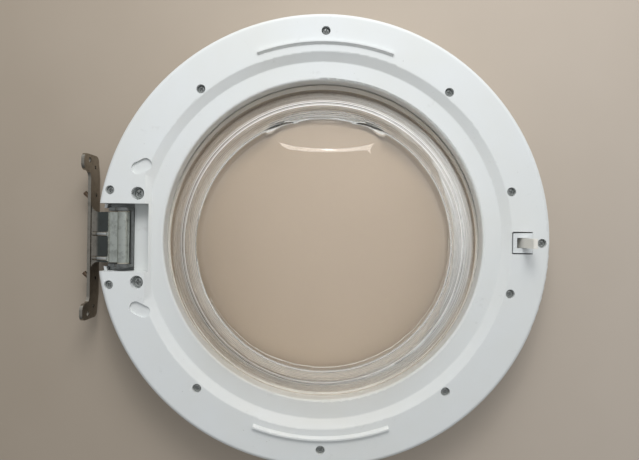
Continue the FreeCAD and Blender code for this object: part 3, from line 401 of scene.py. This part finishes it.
def domeLine(radius, height, soft):
    # from the end of the soft shoulder up to the axis, as a shallow arc
    rise, count = bowl["rise"], bowl["domeSteps"]
    ball = (radius ** 2 + rise ** 2) / (2 * rise)
    rs = [(radius - soft) * (1 - k / count) for k in range(count + 1)]
    return [(r, height + rise - ball + math.sqrt(ball ** 2 - r ** 2), 0) for r in rs]


def beadLine(start, end, radius, count):
    # the raised ring line: a short arc that bulges outwards between two points
    a, b = Vector(start), Vector(end)
    side = Vector((b.y - a.y, a.x - b.x)).normalized()
    centre = (a + b) / 2 - side * math.sqrt(radius ** 2 - ((b - a).length / 2) ** 2)
    turn = (b - centre).angle(a - centre)
    return [tuple(centre + Matrix.Rotation(turn * k / count, 2) @ (a - centre)) + (0,) for k in range(count + 1)]


def softLower(a, b, soft):
    gap = max(soft - abs(a - b), 0) / soft
    return min(a, b) - gap * gap * soft / 4


def fadeIn(distance, start, length):
    return min(max((distance - start) / length, 0), 1)


def bowlLines(rim, base):
    # outer and inner half of the section, both from the middle of the rim to the axis
    clamp = base + bowl["flange"]
    middle = (rim, base + bowl["flange"] / 2, 0)
    (ledgeR, ledgeZ), (kneeR, kneeZ), (crownR, crownZ) = bowl["ledge"], bowl["ledgeInner"], bowl["crown"]
    outer = [middle, (rim, clamp, bowl["rimRound"]), (bowl["foot"], clamp, bowl["footRound"])]
    outer += beadLine(bowl["ledge"], bowl["ledgeInner"], bowl["bead"], bowl["beadSteps"])
    outer += [(crownR, crownZ, bowl["crownRound"])] + domeLine(crownR, crownZ, bowl["outerSoft"])
    lean = (kneeR - crownR) / (crownZ - kneeZ)
    footLean = (bowl["foot"] - ledgeR) / (ledgeZ - clamp)
    shift = bowl["wall"] * bowl["levelWall"]
    innerR, innerZ = crownR + lean * bowl["wall"] - shift, crownZ - bowl["wall"]
    mouth = bowl["foot"] + footLean * (clamp - base) - shift
    inner = [middle, (rim, base, bowl["rimRound"]), (mouth, base, bowl["mouthRound"]),
             (kneeR - shift, kneeZ, bowl["kneeRound"]), (innerR, innerZ, bowl["innerRound"])]
    inner += domeLine(innerR, innerZ, bowl["innerSoft"])
    return roundCorners(outer, bowl["step"]), roundCorners(inner, bowl["step"])


def makeBowl():
    low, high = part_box("glass_bowl")
    rim, base = high.x / mm, low.z / mm
    clamp = base + bowl["flange"]
    crownR, crownZ = bowl["crown"]
    slope = math.radians(bowl["bevelAngle"])
    ridgeZ = crownZ + bowl["rise"] * (1 - (bowl["bevelAt"] / crownR) ** 2)
    startAt, startFade = bowl["rippleStart"]
    endAt, endFade = bowl["rippleEnd"]
    bm = bmesh.new()
    for line, sink in zip(bowlLines(rim, base), (0, bowl["wall"] / math.cos(slope))):
        rings = []
        for r, z in line:
            # mould marks run round the wall as shallow waves
            onWall = fadeIn(z - clamp, startAt, startFade) * fadeIn(crownZ - z, endAt, endFade)
            r += bowl["ripple"] * onWall * sum(
                share * (math.sin(fullTurn * z / length + phase) - 1) for length, share, phase in bowl["ripples"])
            ring = []
            for k in range(bowl["turns"] if r > bowl["axisGap"] else 1):
                a = fullTurn * k / bowl["turns"]
                x, y = r * math.cos(a), r * math.sin(a)
                height = z
                if z > bowl["ledge"][1] + bowl["bevelAbove"]:
                    beyond = y - bowl["bevelAt"]
                    soft = bowl["ridgeSoft"] + bowl["footSoft"] * fadeIn(beyond, *bowl["footFade"]) ** 2
                    height = softLower(z, ridgeZ - sink - math.tan(slope) * beyond, soft)
                ring.append(bm.verts.new((x * mm, (y - bowl["drop"]) * mm, height * mm)))
            rings.append(ring)
        joinRings(bm, rings)
    bmesh.ops.remove_doubles(bm, verts=bm.verts, dist=bowl["weld"] * mm)
    piece = meshPiece("glassBowl", bm, clearGlass)
    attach(piece, "door")
    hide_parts("glass_bowl")
    print("glass bowl:", len(piece.data.polygons), "faces")


makeBowl()


# Screws: one pan head with a cross recess, set at every screw of the frame by geometry nodes

ringScrew = {"shank": 1.95, "height": 2.5, "arm": 0.56, "armWidth": 0.62, "depth": 1.5, "seed": 4}
hingeScrew = {"shank": 2.5, "height": 3.4, "arm": 0.56, "armWidth": 0.72, "depth": 2.0, "seed": 9}
screwForm = {
    "around": 40, "sharp": 42, "tip": 1 / 3,
    # radius and depth of the rounded top, as shares of the head
    "top": ((1.0, 0.5), (0.96, 0.34), (0.88, 0.19), (0.78, 0.08), (0.68, 0.02)),
    "mouth": 1.06, "lip": 0.96, "lipDepth": 0.12, "floor": 0.72, "floorDepth": 0.75,  # cross recess
}


def screwPlaces(name):
    # top centre, head radius and length of every loose screw in the node
    bm = bmesh.new()
    bm.from_mesh(nodes[name].data)
    bmesh.ops.remove_doubles(bm, verts=bm.verts, dist=weldGap)
    left, places = set(bm.verts), []
    while left:
        island = [left.pop()]
        for vert in island:
            for edge in vert.link_edges:
                other = edge.other_vert(vert)
                if other in left:
                    left.remove(other)
                    island.append(other)
        xs, ys, zs = zip(*[v.co for v in island])
        places.append((Vector(((min(xs) + max(xs)) / 2, (min(ys) + max(ys)) / 2, max(zs))),
                       (max(xs) - min(xs)) / 2, max(zs) - min(zs)))
    bm.free()
    return places


def screwMesh(name, look, head, length, material):
    # all sizes in metres, top of the head at zero
    form = screwForm
    height, shank, depth = look["height"] * mm, look["shank"] * mm, look["depth"] * mm
    arm, half = head * look["arm"], look["armWidth"] * mm
    corners = (math.atan(half / arm), math.atan(arm / half))
    turns = sorted([fullTurn * k / form["around"] for k in range(form["around"])]
                   + [quarter * math.pi / 2 + a for quarter in range(4) for a in corners])

    def cross(a):
        across, up = abs(math.cos(a)) + 1e-9, abs(math.sin(a)) + 1e-9
        return max(min(arm / across, half / up), min(half / across, arm / up))

    # radius, height and share of the cross outline
    levels = [(shank * form["tip"], -length, 0), (shank, shank - length, 0), (shank, -height, 0), (head, -height, 0)]
    levels += [(head * wide, -height * deep, 0) for wide, deep in form["top"]]
    levels += [(0, 0, form["mouth"]), (0, -form["lipDepth"] * mm, form["lip"]),
               (0, -depth * form["floorDepth"], form["floor"])]
    bm = bmesh.new()
    rings = [[bm.verts.new((0, 0, -length))]]
    for r, z, share in levels:
        reach = [r + share * cross(a) for a in turns]
        rings.append([bm.verts.new((out * math.cos(a), out * math.sin(a), z)) for out, a in zip(reach, turns)])
    rings.append([bm.verts.new((0, 0, -depth))])
    joinRings(bm, rings)
    master = meshPiece(name, bm, material)
    master.data.set_sharp_from_angle(angle=math.radians(form["sharp"]))
    return master


def screwTree():
    tree = bpy.data.node_groups.new("setScrews", "GeometryNodeTree")
    for name, way, kind in (("Points", "INPUT", "NodeSocketGeometry"), ("Screw", "INPUT", "NodeSocketObject"),
                            ("Seed", "INPUT", "NodeSocketInt"), ("Finish", "INPUT", "NodeSocketMaterial"),
                            ("Geometry", "OUTPUT", "NodeSocketGeometry")):
        tree.interface.new_socket(name, in_out=way, socket_type=kind)
    start = addNode(tree, "NodeGroupInput")
    shape = addNode(tree, "GeometryNodeObjectInfo", links={"Object": start.outputs["Screw"]})
    turn = addNode(tree, "FunctionNodeRandomValue", {"data_type": "FLOAT_VECTOR", 1: (0, 0, fullTurn)},
                   {8: start.outputs["Seed"]})
    put = addNode(tree, "GeometryNodeInstanceOnPoints", links={
        "Points": start.outputs["Points"], "Instance": shape.outputs["Geometry"], "Rotation": turn.outputs[0]})
    real = addNode(tree, "GeometryNodeRealizeInstances", links={"Geometry": put.outputs["Instances"]})
    paint = addNode(tree, "GeometryNodeSetMaterial", links={
        "Geometry": real.outputs["Geometry"], "Material": start.outputs["Finish"]})
    addNode(tree, "NodeGroupOutput", links={"Geometry": paint.outputs["Geometry"]})
    return tree


def makeScrews(name, node, look, tree, material):
    places = screwPlaces(node)
    master = screwMesh(name + "Shape", look, places[0][1], places[0][2], material)
    points = bpy.data.meshes.new(name + "Points")
    points.from_pydata([place for place, head, length in places], [], [])
    holder = putObject(name + "Points", points)
    modifier = holder.modifiers.new("screws", "NODES")
    modifier.node_group = tree
    for socket, value in (("Screw", master), ("Seed", look["seed"]), ("Finish", material)):
        modifier[tree.interface.items_tree[socket].identifier] = value
    bpy.context.view_layer.update()
    mesh = bpy.data.meshes.new_from_object(holder.evaluated_get(bpy.context.evaluated_depsgraph_get()))
    mesh.name = name
    piece = putObject(name, mesh)
    bpy.data.objects.remove(holder)
    bpy.data.objects.remove(master)
    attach(piece, "door")
    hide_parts(node)
    print(name + ":", len(places), "screws,", len(mesh.polygons), "faces")


setScrews = screwTree()
makeScrews("ringScrews", "frame_screws", ringScrew, setScrews, screwZincPaintedLight)
makeScrews("hingeScrews", "hinge_screws", hingeScrew, setScrews, screwZincPaintedLight)


# Soft edges on the pieces that come from the frame, by width in millimetres

edges = {"inner_frame": 0.5, "front_ring": 0.5, "hinge_mount": 0.3, "hinge_bracket": 0.6, "latch_holder": 0.3,
         "latch_hook": 0.4, "locating_pegs": 0.25, "hinge_pin": 0.25, "pin_clip": 0.1}
edgeLook = {"flatBelow": 0.4, "edgeAbove": 32, "segments": 2}  # angles in degrees
for name, width in edges.items():
    piece = nodes[name]
    weld = piece.modifiers.new("weld", "WELD")
    weld.merge_threshold = weldGap
    flat = piece.modifiers.new("flat", "DECIMATE")
    flat.decimate_type = "DISSOLVE"
    flat.angle_limit = math.radians(edgeLook["flatBelow"])
    bevel = piece.modifiers.new("edge", "BEVEL")
    bevel.width = width * mm
    bevel.segments = edgeLook["segments"]
    bevel.limit_method = "ANGLE"
    bevel.angle_limit = math.radians(edgeLook["edgeAbove"])
    bevel.use_clamp_overlap = True
    bevel.harden_normals = False
    normals = piece.modifiers.new("shade", "WEIGHTED_NORMAL")
    normals.keep_sharp = False
    piece.data.polygons.foreach_set("use_smooth", [True] * len(piece.data.polygons))
print("edges softened:", len(edges))


# Floor, light and camera

floorLook = {"light": "#C3B7A9", "shade": "#A89B8B", "shadeTo": 320, "mottleSize": 120, "mottle": 0.3,
             "rough": 0.7, "half": 3, "gap": 0.2}


# Painted floor: warm grey, matt, a little darker on the hinge side
def makeFloor():
    half, reach, mottle = floorLook["half"], floorLook["shadeTo"] * mm, floorLook["mottle"]
    mesh = bpy.data.meshes.new("floor")
    mesh.from_pydata([(-half, -half, 0), (half, -half, 0), (half, half, 0), (-half, half, 0)], [], [(0, 1, 2, 3)])
    floor = putObject("floor", mesh)
    floor.location.z = cadBox[0].z - floorLook["gap"] * mm
    material, tree, place = startMaterial("paleFloor")
    across = spread(tree, splitAxes(tree, place)["X"], -reach, reach)
    drift = maths(tree, "MULTIPLY_ADD", noise(tree, place, floorLook["mottleSize"], 3), mottle, -mottle / 2)
    blend = maths(tree, "ADD", across, drift, clamp=True)
    tone = mixColour(tree, blend, floorLook["shade"], floorLook["light"])
    endMaterial(tree, principled(tree, {"Roughness": floorLook["rough"]}, {"Base Color": tone}))
    mesh.materials.append(material)


makeFloor()

skyLook = {"colour": "#F4F7FA", "dim": 0.14, "bright": 0.94, "side": 0.8,
           "band": 0.5, "bandAhead": (0.78, 0.97), "bandHeight": (0.08, 0.3)}


# Brighter towards +Y and +X, with a low bright band ahead, like a window wall
def makeSky():
    world = bpy.data.worlds.new("studio")
    bpy.context.scene.world = world
    world.use_nodes = True
    tree = world.node_tree
    tree.nodes.clear()
    axes = splitAxes(tree, addNode(tree, "ShaderNodeTexCoord").outputs["Generated"])
    glow = spread(tree, axes["Y"], -1.0, 1.0, skyLook["dim"], skyLook["bright"])
    side = spread(tree, axes["X"], -1.0, 1.0, skyLook["side"], 2 - skyLook["side"])
    ahead = spread(tree, axes["Y"], *skyLook["bandAhead"], kind="SMOOTHSTEP")
    low = spread(tree, axes["Z"], *skyLook["bandHeight"], skyLook["band"], 0.0, "SMOOTHSTEP")
    strength = maths(tree, "MULTIPLY_ADD", ahead, low, maths(tree, "MULTIPLY", glow, side))
    back = addNode(tree, "ShaderNodeBackground", {"Color": skyLook["colour"]}, {"Strength": strength})
    addNode(tree, "ShaderNodeOutputWorld", links={"Surface": back.outputs["Background"]})


makeSky()

# The large window only lights; the small glint is the one that glass and metal mirror
lamps = {"window": {"watts": 4.0, "at": (0.05, 0.62, 0.60), "size": 0.42, "mirrored": False},
         "glint": {"watts": 0.3, "at": (0.02, 0.62, 0.60), "size": 0.05, "mirrored": True}}
for name, look in lamps.items():
    lampData = bpy.data.lights.new(name, "AREA")
    lampData.size = look["size"]
    lampData.energy = look["watts"]
    lamp = putObject(name, lampData)
    lamp.location = look["at"]
    lamp.rotation_euler = (-Vector(look["at"])).to_track_quat("-Z", "Y").to_euler()
    lamp.visible_glossy = look["mirrored"]

view = {"at": (-0.0035, 0.0096, 0.510), "roll": 0.81, "focalPx": 500.0, "imageWidth": 639, "sensor": 36,
        "nearest": 0.01}
cameraData = bpy.data.cameras.new("camera")
cameraData.sensor_width = view["sensor"]
cameraData.sensor_fit = "HORIZONTAL"
cameraData.lens = view["focalPx"] * view["sensor"] / view["imageWidth"]
cameraData.clip_start = view["nearest"]
camera = putObject("camera", cameraData)
camera.location = view["at"]
camera.rotation_euler = (0, 0, math.radians(view["roll"]))
bpy.context.scene.camera = camera
bpy.context.scene.view_settings.view_transform = "Standard"
print("stage set")
